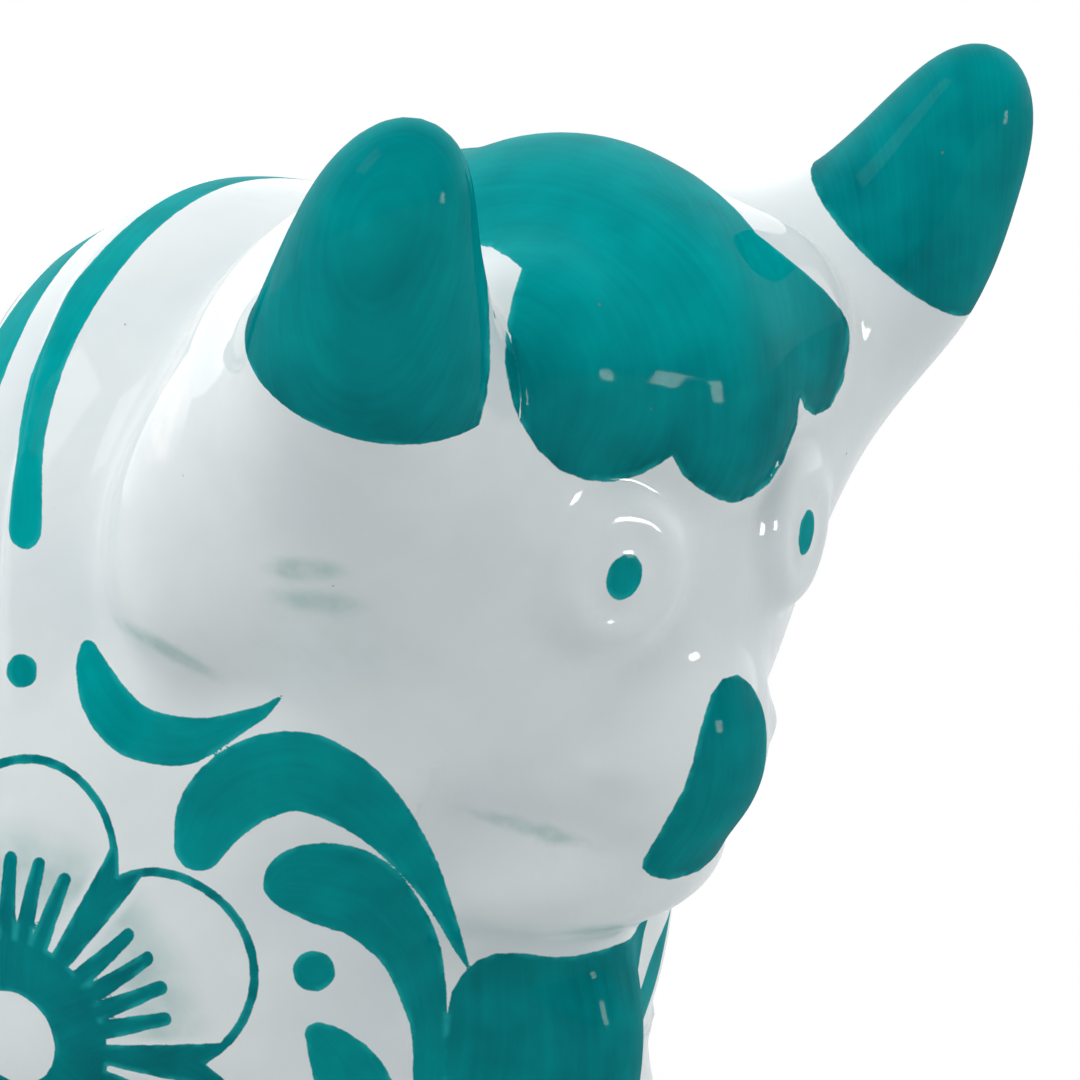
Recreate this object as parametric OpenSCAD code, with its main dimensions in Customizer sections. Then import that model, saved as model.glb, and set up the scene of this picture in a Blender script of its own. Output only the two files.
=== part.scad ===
// Bull figure of fired clay: hollow body and head with pieces luted on before firing.
// Millimetres, ground at z = 0, the bull looks along -Y and its left side is +X.

/* [Body] */
// Width of the barrel at its widest
body_w = 93; // [88:1:98]
// Height of the belly above the ground
belly_h = 42; // [41:1:44]
// Height of the back at the loin
back_h = 126; // [123:1:129]
// Height of the crest of the neck
crest_h = 158.5; // [156:0.5:160]
// Distance of the rump behind the middle
rump_y = 90; // [88:1:92]
// Distance of the chest in front of the middle
chest_y = 69; // [67:1:71]
// Width of the neck inside the head
neck_w = 40; // [36:1:44]
// Wall of the hollow body and head
wall = 5; // [4:0.5:6]
// Layer of slip between a plugged piece and its hole
slip = 0.15; // [0.1:0.05:0.3]

/* [Head] */
// Width across the temples
temple_w = 72.5; // [70:0.5:75]
// Width across the cheeks
cheek_w = 66; // [63:1:69]
// Width of the muzzle at the mouth
muzzle_w = 43; // [40:1:46]
// Height of the top of the skull
skull_h = 164.5; // [163:0.5:166]
// Height of the chin above the ground
chin_h = 89; // [87:1:90]
// Distance of the nose in front of the middle
nose_y = 92.5; // [91:0.5:94]
// Distance of the brow in front of the middle
brow_y = 90.5; // [89:0.5:92]

/* [Horns and ears] */
// Diameter of a horn at its root
horn_d = 28; // [25:1:30]
// Diameter of a horn near its tip
horn_tip_d = 8; // [6:1:10]
// Distance between the horn tips
horn_span = 83; // [80:1:90]
// Height of the horn tips
horn_h = 174; // [171:1:177]
// Distance between the ear lobes
ear_span = 70; // [66:1:72]
// Thickness of an ear lobe
ear_d = 17; // [15:1:19]

/* [Face] */
// Distance between the pupils
eye_span = 26; // [24:1:28]
// Height of the eyes
eye_h = 128; // [125:1:131]
// Diameter of the eye ring
eye_d = 13; // [11:1:15]
// Width of the crown of hair
crown_w = 34; // [30:1:36]
// Rise of the crown of hair above the skull
crown_rise = 2.5; // [1:0.5:5]
// Width of the middle curl on the forehead
curl_w = 25; // [22:1:27]
// Height at which the middle curl ends
curl_h = 132; // [130:1:135]

/* [Neck] */
// Thickness of the dewlap keel
dewlap_d = 15; // [12:1:16]
// Thickness of the roll inside a neck fold
fold_d = 14; // [12:1:16]
// Height of a neck fold above the skin
fold_relief = 1.75; // [1.5:0.25:2.5]

/* [Legs] */
// Diameter of a leg at the belly
leg_d = 35; // [33:1:37]
// Diameter of a hoof
hoof_d = 31; // [28:1:33]
// Height of the painted hoof
hoof_h = 12; // [10:1:15]
// Height of the top of a leg inside the body
leg_top = 66; // [64:1:68]
// Thickness of the sole
sole = 6; // [5:0.5:8]
// Distance between the axes of a pair of legs
leg_span = 45; // [43:1:47]
// Distance of the front legs in front of the middle
leg_front_y = 41; // [38:1:43]
// Distance of the hind legs behind the middle
leg_hind_y = 56; // [53:1:58]

/* [Handle and mouth] */
// Distance between the feet of the handle
handle_len = 31; // [29:1:33]
// Height of the grip above the ground
handle_h = 153; // [149:1:157]
// Width of the grip
grip_w = 17; // [14:1:19]
// Thickness of the grip
grip_t = 11; // [9:1:13]
// Outer diameter of the mouth collar
mouth_d = 21; // [19:1:23]
// Inner diameter of the mouth collar
mouth_bore = 13; // [11:1:14]
// Height of the lip of the mouth
mouth_h = 122; // [120:1:125]

/* [Tail] */
// Thickness of the tail at its root
tail_d = 12; // [10:1:14]
// Thickness of the tuft
tuft_d = 16; // [14:1:18]

/* [Finish] */
// Colour of the glaze
glaze = [0.93, 0.94, 0.94]; // [0:0.01:1]
// Colour of the painting
paint = [0.03, 0.52, 0.52]; // [0:0.01:1]

/* [Hidden] */
half_w = body_w / 2;
sides = 32;
steps = 3;
coil_fn = 14;
barrel_y = 22;
barrel_h = (back_h - belly_h) / 2;
handle_y = 39.5;
mouth_y = rump_y - 16;
head_mid = (skull_h + chin_h) / 2;
eye_y = 3 - brow_y;
crown_r = crown_w / 2;
curl_r = curl_w / 2;
$fn = 64;

// A section of the body: back y and z, belly y and z, half width, fullness above the middle
neck_section = [-49, crest_h - 7, 5 - chest_y, 99, neck_w / 2, 0];
body_sections = concat(
    [for (a = [25, 41, 60, 80]) let (
        y = barrel_y + (rump_y - barrel_y) * cos(a),
        h = barrel_h * sin(a))
        [y, belly_h + barrel_h + h, y, belly_h + barrel_h - h, half_w * sin(a), 0]],
    [[13, back_h + 1, -2, belly_h, half_w - 1, -0.01],
    [3, back_h + 10, 30 - chest_y, belly_h - 1, half_w, -0.08],
    [-8, crest_h - 8, 6 - chest_y, belly_h + 19, half_w - 2.5, -0.06],
    [-27, crest_h, -chest_y, belly_h + 53, half_w - 15, 0.18],
    neck_section]);
rump_end = [0, rump_y, belly_h + barrel_h];
neck_end = [0, (neck_section[0] + neck_section[2]) / 2, (neck_section[1] + neck_section[3]) / 2];

// A level of the head: height, front y, back y, half width, fullness towards the back
head_levels = [
    [chin_h + 1, 12 - nose_y, 38.5 - nose_y, muzzle_w / 2 - 8.5, 0],
    [chin_h + 5, 8 - nose_y, 44 - nose_y, muzzle_w / 2 - 3.5, 0],
    [chin_h + 11, 3.5 - nose_y, 46 - nose_y, muzzle_w / 2, 0.4],
    [chin_h + 19, -nose_y, 47 - nose_y, cheek_w / 2 - 6.5, 0.5],
    [eye_h - 9, 0.5 - brow_y, 51 - brow_y, cheek_w / 2, 0.17],
    [eye_h + 3, -brow_y, 55.5 - brow_y, temple_w / 2, 0.06],
    [eye_h + 15, 2.5 - brow_y, 53 - brow_y, temple_w / 2 - 0.5, 0.12],
    [skull_h - 10.5, 12.5 - brow_y, 49 - brow_y, temple_w / 2 - 7.5, 0.1],
    [skull_h - 2.5, 23 - brow_y, 41.5 - brow_y, temple_w / 2 - 21, 0]
];
chin_end = [0, 25.5 - nose_y, chin_h];
skull_end = [0, 32.5 - brow_y, skull_h];

// Point of a smooth curve between b and c
function blend(a, b, c, d, t) =
    0.5 * (2 * b + (c - a) * t + (2 * a - 5 * b + 4 * c - d) * t * t
    + (3 * b - a - 3 * c + d) * t * t * t);

// Rows along a smooth curve through the given rows
function smooth(rows, n) = let (m = len(rows) - 1) concat(
    [for (i = [0 : m - 1], k = [0 : n - 1]) let (
        a = i > 0 ? rows[i - 1] : 2 * rows[0] - rows[1],
        d = i < m - 1 ? rows[i + 2] : 2 * rows[m] - rows[m - 1])
        blend(a, rows[i], rows[i + 1], d, k / n)],
    [rows[m]]);

// Section drawn in by the wall
function inset(s, t) = let (
    up = [s[0] - s[2], s[1] - s[3]],
    in = up / norm(up) * t)
    [s[0] - in[0], s[1] - in[1], s[2] + in[0], s[3] + in[1], s[4] - t, s[5]];

// Section at a place between the rows
function section_at(rows, u) = let (i = floor(u)) blend(
    rows[i - 1], rows[i], rows[i + 1], rows[i + 2], u - i);

// Point of a section: 0 is the belly, sides / 2 the back, the right side lies between
function rim(s, j) = let (a = 360 * j / sides - 90)
    [-s[4] * cos(a) * (1 + s[5] * sin(a)),
    (s[0] + s[2]) / 2 + (s[0] - s[2]) / 2 * sin(a),
    (s[1] + s[3]) / 2 + (s[1] - s[3]) / 2 * sin(a)];

function points(sections, last) = [for (s = sections, j = [0 : last]) rim(s, j)];

// Points of the levels of the head, none of them on the middle plane
function level_points(levels) = [for (s = levels, j = [0 : sides - 1]) let (a = 360 * (j + 0.5) / sides - 90)
    [-s[3] * cos(a) * (1 + s[4] * sin(a)), (s[1] + s[2]) / 2 + (s[2] - s[1]) / 2 * sin(a), s[0]]];

// Level drawn in by the wall
function hollow(s) = [
    head_mid + (s[0] - head_mid) * (1 - 2 * wall / (skull_h - chin_h)),
    s[1] + wall, s[2] - wall, s[3] - wall, s[4]];

// Point on the rump: a is the angle from its end, b the angle round it from the top
function on_rump(a, b, r) = [
    half_w * sin(a) * sin(b),
    barrel_y + (rump_y - barrel_y) * cos(a),
    belly_h + barrel_h + barrel_h * sin(a) * cos(b),
    r];

function quad(a, b, c, d) = [[a, b, c], [a, c, d]];

function both(lists) = [for (l = lists, f = l) f];

// Faces of a skin whose sections have w points each, from point number o on, alike on both sides
function skin(n, w, o, inner, round) = both(
    [for (i = [0 : n - 2], j = [0 : round ? w - 1 : w - 2]) let (
        k = (j + 1) % w,
        a = o + i * w + j, b = o + (i + 1) * w + j,
        c = o + (i + 1) * w + k, d = o + i * w + k)
        round && j >= w / 2
            ? (inner ? quad(b, c, d, a) : quad(b, a, d, c))
            : (inner ? quad(a, b, c, d) : quad(a, d, c, b))]);

// One half of the body: outer skin, inner skin, seam faces and the ring inside the head
module half_shell() {
    out = smooth(body_sections, steps);
    w = sides / 2 + 1;
    n = len(out);
    in = [for (s = out) inset(s, wall)];
    o = n * w;
    tip = 2 * o;
    seam = both([for (i = [0 : n - 2]) concat(
        quad(i * w, (i + 1) * w, o + (i + 1) * w, o + i * w),
        quad(i * w + w - 1, o + i * w + w - 1, o + (i + 1) * w + w - 1, (i + 1) * w + w - 1))]);
    ring = both([for (j = [0 : w - 2]) let (a = (n - 1) * w + j) quad(a, a + 1, o + a + 1, o + a)]);
    cap = both([for (j = [0 : w - 2]) [[j, tip, j + 1], [o + j, o + j + 1, tip + 1]]]);
    ends = concat(quad(tip, 0, o, tip + 1), quad(tip, tip + 1, o + w - 1, w - 1));
    polyhedron(
        concat(points(out, w - 1), points(in, w - 1), [rump_end, rump_end - [0, wall, 0]]),
        concat(skin(n, w, 0, false, false), skin(n, w, o, true, false), seam, ring, cap, ends));
}

// Closed loft over n rings of points between two end points
module loft(rings, n, first, last) {
    o = (n - 1) * sides;
    mid = n * sides;
    cap = both([for (j = [0 : sides - 1]) let (k = (j + 1) % sides)
        [[j, mid, k], [o + j, o + k, mid + 1]]]);
    polyhedron(concat(rings, [first, last]), concat(skin(n, sides, 0, false, true), cap));
}

// Full forms of body and head, which shape the seats of what is luted on
module body_form() {
    out = smooth(body_sections, steps);
    loft(points(out, sides - 1), len(out), rump_end, neck_end);
}

module head_form() {
    out = smooth(head_levels, steps);
    loft(level_points(out), len(out), chin_end, skull_end);
}

module head_hollow() {
    in = [for (s = smooth(head_levels, steps)) hollow(s)];
    loft(level_points(in), len(in), chin_end + [0, 0, wall], skull_end - [0, 0, wall]);
}

// Rolled coil of clay through rows of x, y, z and radius
module coil(rows, n) {
    path = smooth(rows, n);
    for (i = [0 : len(path) - 2])
        hull() for (p = [path[i], path[i + 1]])
            translate([p[0], p[1], p[2]]) sphere(p[3], $fn = coil_fn);
}

// Pad of clay pressed on: an ellipsoid tilted forward and turned outward
module pad(place, radii, tilt, turn) {
    translate(place) rotate([tilt, 0, turn]) scale(radii / radii[2]) sphere(radii[2], $fn = 32);
}

module body_right() {
    color(glaze) difference() {
        half_shell();
        for (y = [-leg_front_y, leg_hind_y])
            translate([-leg_span / 2, y, 0]) rotate_extrude() leg_outline(leg_d / 2 + slip, leg_top + slip);
        translate([0, mouth_y, mouth_h - 40]) cylinder(r = mouth_d / 2 + slip, h = 40);
        head_form();
    }
}

module body_left() {
    mirror([1, 0, 0]) body_right();
}

// Hollow head, open at the back into the body
module head() {
    color(glaze) difference() {
        head_form();
        head_hollow();
        translate([0, 30 - brow_y, eye_h - 6]) rotate([-90, 0, 0]) cylinder(r = neck_w / 2 - 7, h = 40);
    }
}

module horn_form() {
    coil([
        [horn_span / 2 - 28, -61, horn_h - 34, horn_d / 2],
        [horn_span / 2 - 15.5, -68, horn_h - 32, horn_d / 2 - 0.5],
        [horn_span / 2 - 5.5, -78.5, horn_h - 23.5, horn_d / 2 - 2],
        [horn_span / 2 - 0.5, -85.3, horn_h - 11, horn_tip_d / 2 + 4],
        [horn_span / 2, -89, horn_h - horn_tip_d / 2, horn_tip_d / 2]], 3);
}

module horn_left() {
    color(paint) difference() {
        horn_form();
        head_form();
        body_form();
    }
}

module horn_right() {
    mirror([1, 0, 0]) horn_left();
}

module ear_form() {
    coil([
        [ear_span / 2 - 5, -53, eye_h + 10, ear_d / 2 - 1.5],
        [ear_span / 2 - 2, -51.5, eye_h + 2, ear_d / 2],
        [ear_span / 2 - 2, -51.5, eye_h - 5, ear_d / 2 - 2]], 4);
}

module ear_left() {
    color(glaze) difference() {
        ear_form();
        horn_form();
        head_form();
        body_form();
    }
}

module ear_right() {
    mirror([1, 0, 0]) ear_left();
}

module eye_left() {
    r = eye_d / 2 - 1.5;
    color(glaze) difference() {
        translate([eye_span / 2, eye_y, eye_h]) rotate([0, 0, 18]) {
            coil([for (k = [0 : 12]) [r * cos(30 * k), 0, r * sin(30 * k), 1.6]], 1);
            rotate([90, 0, 0]) cylinder(r = r, h = 0.8, $fn = 24);
        }
        head_form();
    }
}

module eye_right() {
    mirror([1, 0, 0]) eye_left();
}

module crown_form() {
    pad([0, 21 - brow_y, skull_h + crown_rise - 0.8 * crown_r],
        [crown_r, crown_r + 0.5, 0.8 * crown_r], 0, 0);
}

module forelock_crown() {
    color(paint) difference() {
        crown_form();
        head_form();
        horn_form();
        mirror([1, 0, 0]) horn_form();
    }
}

module middle_form() {
    pad([0, 4.3 - brow_y, curl_h + curl_r], [curl_r, 0.62 * curl_r, curl_r], -10, 0);
}

module forelock_middle() {
    color(paint) difference() {
        middle_form();
        head_form();
        crown_form();
        horn_form();
    }
}

module forelock_left() {
    color(paint) difference() {
        pad([1.3 * curl_r, 9 - brow_y, curl_h + 1.2 * curl_r], curl_r * [0.8, 0.68, 0.84], 0, 32);
        head_form();
        crown_form();
        middle_form();
        horn_form();
        eye_clear();
    }
}

// Room that the side curls leave round the eyes
module eye_clear() {
    translate([eye_span / 2, eye_y, eye_h]) rotate([90, 0, 0])
        cylinder(r = eye_d / 2 + 1, h = 30, center = true, $fn = 24);
}

module forelock_right() {
    mirror([1, 0, 0]) forelock_left();
}

module dewlap() {
    r = dewlap_d / 2;
    color(paint) difference() {
        coil([
            [0, 11 - chest_y, chin_h + 8, r - 1.5],
            [0, 5.5 - chest_y, chin_h - 2, r - 0.5],
            [0, 2 - chest_y, chin_h - 15, r],
            [0, 6 - chest_y, belly_h + 16, r - 0.5],
            [0, 16 - chest_y, belly_h + 6, r - 1.5]], 3);
        head_form();
        body_form();
    }
}

// Roll of skin over the neck, from place top_u among the sections at the crest to side_u at its ends
module fold_form(top_u, side_u) {
    r = fold_d / 2;
    path = [for (k = [-6 : 6]) let (
        t = k / 6,
        out = min(1, sqrt(t * t + 0.03)),
        u = top_u + (side_u - top_u) * out * (2 - out))
        rim(inset(section_at(body_sections, u), r - fold_relief), sides / 2 + 5.5 * t)];
    coil([for (k = [0 : 12]) concat(path[k], k % 12 == 0 ? r - 1 : r)], 1);
}

module front_fold_form() {
    fold_form(6.75, 6.75);
}

// Everything that a neck fold lies against
module neck_seats() {
    head_form();
    body_form();
    for (m = [0, 1])
        mirror([m, 0, 0]) {
            horn_form();
            ear_form();
        }
}

module neck_fold_front() {
    color(glaze) difference() {
        front_fold_form();
        neck_seats();
    }
}

module neck_fold_rear() {
    color(glaze) difference() {
        fold_form(5.85, 6.3);
        front_fold_form();
        neck_seats();
    }
}

// Plug of a leg of radius r that ends at height t, with a rounded shoulder
module leg_outline(r, t) {
    polygon([
        [0, hoof_h + 24],
        [r, hoof_h + 24],
        [r, t - 20],
        [r - 1.5, t - 12],
        [r - 5, t - 5],
        [r - 10, t],
        [0, t]]);
}

// Hollow stump: hoof, ankle and plug, open at the top
module leg() {
    r = leg_d / 2;
    h = hoof_d / 2;
    color(glaze) rotate_extrude() difference() {
        union() {
            leg_outline(r, leg_top);
            polygon([
                [0, 0],
                [h - 1.5, 0],
                [h, 1.5],
                [h, hoof_h - 1.5],
                [h - 1, hoof_h],
                [h - 0.5, hoof_h + 6],
                [r - 0.8, hoof_h + 17],
                [r, hoof_h + 24],
                [0, hoof_h + 24]]);
        }
        polygon([
            [0, sole],
            [h - wall, sole],
            [h - wall, hoof_h + 6],
            [r - wall, hoof_h + 24],
            [r - wall, leg_top - 22],
            [r - wall - 9, leg_top + 1],
            [0, leg_top + 1]]);
    }
}

module leg_front_right() {
    translate([-leg_span / 2, -leg_front_y, 0]) leg();
}

module leg_front_left() {
    translate([leg_span / 2, -leg_front_y, 0]) leg();
}

module leg_hind_right() {
    translate([-leg_span / 2, leg_hind_y, 0]) leg();
}

module leg_hind_left() {
    translate([leg_span / 2, leg_hind_y, 0]) leg();
}

module tail() {
    r = tail_d / 2;
    color(glaze) difference() {
        coil([
            on_rump(22, 0, r),
            on_rump(10, 50, r),
            on_rump(22, 105, r - 1),
            on_rump(40, 105, r - 1),
            on_rump(53, 93, tuft_d / 2),
            on_rump(62, 84, tuft_d / 2 - 4)], 3);
        body_form();
    }
}

module handle() {
    k = grip_w / grip_t;
    r = grip_t / 2;
    color(paint) difference() {
        scale([k, 1, 1]) coil([
            [0, handle_y - handle_len / 2, back_h - 7, r + 1],
            [0, handle_y - handle_len / 2 + 1, handle_h - 19, r],
            [0, handle_y - 9, handle_h - r - 2, r],
            [0, handle_y + 5, handle_h - r - 1, r],
            [0, handle_y + handle_len / 2 - 1, handle_h - 20, r],
            [0, handle_y + handle_len / 2, back_h - 14, r + 1]], 3);
        body_form();
    }
}

// Collar that plugs into the back and ends in a rolled lip
module filling_mouth() {
    r = mouth_d / 2;
    b = mouth_bore / 2;
    color(paint) translate([0, mouth_y, 0]) rotate_extrude() polygon([
        [b, mouth_h - 18],
        [r, mouth_h - 18],
        [r, mouth_h - 5],
        [r + 1.5, mouth_h - 3.5],
        [r + 1.5, mouth_h - 1],
        [r + 0.5, mouth_h],
        [b + 1, mouth_h],
        [b, mouth_h - 1]]);
}

body_right();
body_left();
head();
horn_right();
horn_left();
ear_right();
ear_left();
eye_right();
eye_left();
forelock_crown();
forelock_middle();
forelock_right();
forelock_left();
dewlap();
neck_fold_front();
neck_fold_rear();
leg_front_right();
leg_front_left();
leg_hind_right();
leg_hind_left();
tail();
handle();
filling_mouth();
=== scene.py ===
import math

import bpy
import numpy as np
from mathutils import Matrix, Vector


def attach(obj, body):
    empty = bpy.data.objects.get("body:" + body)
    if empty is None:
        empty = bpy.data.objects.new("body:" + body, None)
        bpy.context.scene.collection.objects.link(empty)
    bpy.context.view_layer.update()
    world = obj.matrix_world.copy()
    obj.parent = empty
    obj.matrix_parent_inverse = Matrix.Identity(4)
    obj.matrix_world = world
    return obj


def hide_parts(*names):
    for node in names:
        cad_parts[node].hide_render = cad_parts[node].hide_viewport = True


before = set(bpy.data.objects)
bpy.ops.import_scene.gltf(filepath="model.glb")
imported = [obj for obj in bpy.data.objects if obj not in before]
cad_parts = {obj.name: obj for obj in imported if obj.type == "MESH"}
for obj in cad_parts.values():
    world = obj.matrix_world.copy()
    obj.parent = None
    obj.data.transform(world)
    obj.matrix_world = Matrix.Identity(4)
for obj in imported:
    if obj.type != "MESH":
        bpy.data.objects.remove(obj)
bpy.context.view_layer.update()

scene = bpy.context.scene
mm = 0.001  # the forms are worked out in millimetres


# Distance fields, in millimetres: negative inside the clay
def softMin(a, b, k):
    h = np.maximum(k - np.abs(a - b), 0) / k
    return np.minimum(a, b) - h * h * k * 0.25


def softStep(x, low, high):
    t = np.clip((x - low) / (high - low), 0, 1)
    return t * t * (3 - 2 * t)


def turned(q, axis, degrees):
    a, b = [(1, 2), (2, 0), (0, 1)][axis]
    c, s = math.cos(math.radians(degrees)), math.sin(math.radians(degrees))
    out = q.copy()
    out[:, a] = c * q[:, a] + s * q[:, b]
    out[:, b] = c * q[:, b] - s * q[:, a]
    return out


def ball(p, centre, radii, turns=()):
    q = p - np.array(centre, p.dtype)
    for axis, degrees in turns:
        q = turned(q, axis, degrees)
    r = np.array(radii, p.dtype)
    far = np.sqrt(((q / r) ** 2).sum(1)) + 1e-6  # never quite 0, nor is the slope
    slope = np.sqrt(((q / (r * r)) ** 2).sum(1)) + 1e-9
    return far * (far - 1) / slope


# A smooth line through rows of numbers, n points to a span
def curveThrough(rows, n):
    rows = np.array(rows, float)
    ends = np.vstack([2 * rows[0] - rows[1], rows, 2 * rows[-1] - rows[-2]])
    t = (np.arange(n) / n)[:, None]
    spans = []
    for a, b, c, d in zip(ends, ends[1:], ends[2:], ends[3:]):
        square, cube = 2 * a - 5 * b + 4 * c - d, 3 * b - a - 3 * c + d
        spans.append(0.5 * (2 * b + (c - a) * t + square * t ** 2 + cube * t ** 3))
    return np.vstack(spans + [rows[-1:]])


# A rolled coil: each row is a place and a radius, and k is how softly the points run together
def coil(p, rows, n=9, k=1.0):
    path = curveThrough(rows, n)
    gap = np.linalg.norm(np.diff(path[:, :3], axis=0), axis=1).mean()
    radius = path[:, 3] - k * np.log(np.sqrt(2 * np.pi * path[:, 3] * k) / gap)
    total = np.zeros(len(p), p.dtype)
    for centre, r in zip(path[:, :3], radius):
        depth = (r - np.linalg.norm(p - centre.astype(p.dtype), axis=1)) / k
        total += np.exp(np.clip(depth, -80, 80))  # as far as a short float reaches
    return -k * np.log(total + 1e-30)


# Works a field out in its box and for a reach round it; past that, a plain distance stands in
def near(p, low, high, field, reach=16):
    low, high = np.array(low, p.dtype) - reach, np.array(high, p.dtype) + reach
    out = np.linalg.norm(np.maximum(np.maximum(low - p, p - high), 0), axis=1)
    inside = out == 0
    out += reach
    if inside.any():
        out[inside] = field(p[inside])
    return out


def coilNear(p, form):
    return near(p, *form["box"], lambda r: coil(r, form["path"]), form["reach"])


bodyForm = {
    "barrel": ((0, 22, 84), (46.5, 68, 42)),
    "chest": ((0, -31, 84), (45, 37, 43)),
    "hump": ((0, -26, 114.5), (38.5, 32, 41)),
    "blend": (24, 18),
}
# Rolls of skin over the neck: angles run from its top down both sides
foldForm = {
    "centre": 112, "crest": 5, "ring": 0.66,  # height the angles turn about, rounding, millimetres a degree
    "front": (25.2, 0.125), "rear": (6.8, 0.28),  # place at the top, and its lean for each degree
    "height": 3.2, "frontShare": 0.45, "rearShare": 0.55,
    "lip": 2, "lipLean": 0.1, "frontStep": (-0.9, 1.5), "rearStep": (1.6, 7),
    "fade": (55, 100), "foot": (100, 116),
    "groove": 4.6, "wave": 0.9, "waveAt": 34, "waveWide": 10, "tuck": 1.4, "tuckFrom": (50, 70),
}


def foldPlaces(p):
    f = foldForm
    angle = np.hypot(np.degrees(np.arctan2(np.abs(p[:, 0]), p[:, 2] - f["centre"])), f["crest"])
    front, rear = (p[:, 1] + at + lean * angle for at, lean in (f["front"], f["rear"]))
    return front, rear, angle


# The groove behind the front fold
def foldLip(p):
    f = foldForm
    front, _, angle = foldPlaces(p)
    wave = f["wave"] * np.exp(-((angle - f["waveAt"]) / f["waveWide"]) ** 2)
    return front - f["groove"] - wave + f["tuck"] * softStep(angle, *f["tuckFrom"])


def bodyField(p):
    barrel, chest, hump = (ball(p, *bodyForm[n]) for n in ("barrel", "chest", "hump"))
    shape = softMin(softMin(barrel, chest, bodyForm["blend"][0]), hump, bodyForm["blend"][1])
    f = foldForm
    front, rear, angle = foldPlaces(p)
    lip = front - f["lip"] - f["lipLean"] * np.maximum(f["fade"][0] - angle, 0)
    step = (1 - softStep(lip, *f["frontStep"])) * f["frontShare"]
    step = step + (1 - softStep(rear, *f["rearStep"])) * f["rearShare"]
    rise = f["height"] * step * (1 - softStep(angle, *f["fade"]))
    return shape - rise * softStep(p[:, 2], *f["foot"])


legForm = {
    "span": 45, "frontY": -41, "hindY": 56,
    "hoof": 15.5, "hoofTop": 12, "ankle": 14.8, "thigh": 17.5,
    "hoofStep": (-1.2, 0.8), "flare": (3, 28),  # from the hoof's top
    "soleEdge": 3, "top": 62, "topEdge": 12, "blend": 10, "box": ((0, -65, -5), (45, 80, 62)),
}


def legField(q):
    f, z = legForm, q[:, 2]
    step, flare = (softStep(z, f["hoofTop"] + a, f["hoofTop"] + b) for a, b in (f["hoofStep"], f["flare"]))
    radius = f["hoof"] - (f["hoof"] - f["ankle"]) * step + (f["thigh"] - f["ankle"]) * flare
    side = q[:, 0] - f["span"] / 2
    front, hind = (np.hypot(side, q[:, 1] - y) - radius for y in (f["frontY"], f["hindY"]))
    out = -softMin(-np.minimum(front, hind), z, f["soleEdge"])
    return -softMin(-out, f["top"] - z, f["topEdge"])


handleForm = {
    "y": 39.5, "length": 31, "height": 153, "width": 17, "thick": 11,
    "frontFoot": 119, "rearFoot": 112, "frontDrop": 19, "rearDrop": 20, "lean": 1, "flare": 1,
    "crestFront": 9, "crestRear": 5, "crestFrontDrop": 2, "crestRearDrop": 1,
    "blend": 5, "box": ((0, 12, 105), (10, 62, 155)),
}


def handleField(p):
    f = handleForm
    y, top, r, foot = f["y"], f["height"], f["thick"] / 2, f["thick"] / 2 + f["flare"]
    front, rear = y - f["length"] / 2, y + f["length"] / 2
    q = p / np.array([f["width"] / f["thick"], 1, 1], p.dtype)
    return coil(q, [
        (0, front, f["frontFoot"], foot),
        (0, front + f["lean"], top - f["frontDrop"], r),
        (0, y - f["crestFront"], top - r - f["crestFrontDrop"], r),
        (0, y + f["crestRear"], top - r - f["crestRearDrop"], r),
        (0, rear - f["lean"], top - f["rearDrop"], r),
        (0, rear, f["rearFoot"], foot)])


eyeForm = {"place": (13, -87.7, 128.3), "ring": 5.3, "cord": 1.4, "pupil": (3.6, 1.5, 3.8), "pupilBlend": 1.5,
           "yaw": 18, "blend": 3.4, "box": ((5, -96, 118), (24, -80, 138)), "reach": 6}


def eyeField(q):
    c = turned(q - np.array(eyeForm["place"], q.dtype), 2, eyeForm["yaw"])
    ring = np.hypot(np.hypot(c[:, 0], c[:, 2]) - eyeForm["ring"], c[:, 1]) - eyeForm["cord"]
    return softMin(ring, ball(c, (0, 0, 0), eyeForm["pupil"]), eyeForm["pupilBlend"])


headForm = {
    "skull": ((0, -58, 140), (33.5, 20, 24.5)),
    "lumps": {  # centre, radii and blend
        "face": ((0, -70, 130), (22.5, 20.5, 24), 10),
        "temple": ((20, -61, 132), (14, 15, 17), 14),
        "brow": ((15.4, -72.4, 134), (12, 12.5, 13), 10),
        "cheek": ((0, -61, 113), (28.5, 22, 22), 14),
        "muzzle": ((0, -75, 106.5), (14, 16.5, 12.5), 5),
        "nose": ((0, -80.5, 111.5), (9.5, 11, 8.5), 6),
        "chin": ((0, -70, 95.5), (17.5, 14, 8), 6),
    },
    "lips": [(20.5, -74, 104.6), (18.9, -76.1, 103.8), (14.9, -80.6, 102), (11.8, -83.7, 100.8),
             (9.4, -85.4, 100)],
    "lipDepth": 1.0, "lipWide": 2.2, "lipPoints": 20,
    "nostril": (12.1, -86.4, 109), "nostrilRise": 1.1, "nostrilWide": 2.6,
    "neckBlend": 5, "jawBlend": 13, "jawHeight": (106, 122), "jawWide": (12, 26),
    "box": ((0, -95, 84), (50, -34, 178)), "reach": 24,
}


def headField(r):
    f = headForm
    shape = ball(r, *f["skull"])
    for centre, radii, blend in f["lumps"].values():
        shape = softMin(shape, ball(r, centre, radii), blend)
    mouthLine = [c.astype(r.dtype) for c in curveThrough(f["lips"], f["lipPoints"])]
    lips = np.minimum.reduce([np.linalg.norm(r - c, axis=1) for c in mouthLine])
    bump = np.linalg.norm(r - np.array(f["nostril"], r.dtype), axis=1)
    shape = shape + f["lipDepth"] * np.exp(-(lips / f["lipWide"]) ** 2)
    return shape - f["nostrilRise"] * np.exp(-(bump / f["nostrilWide"]) ** 2)


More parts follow.
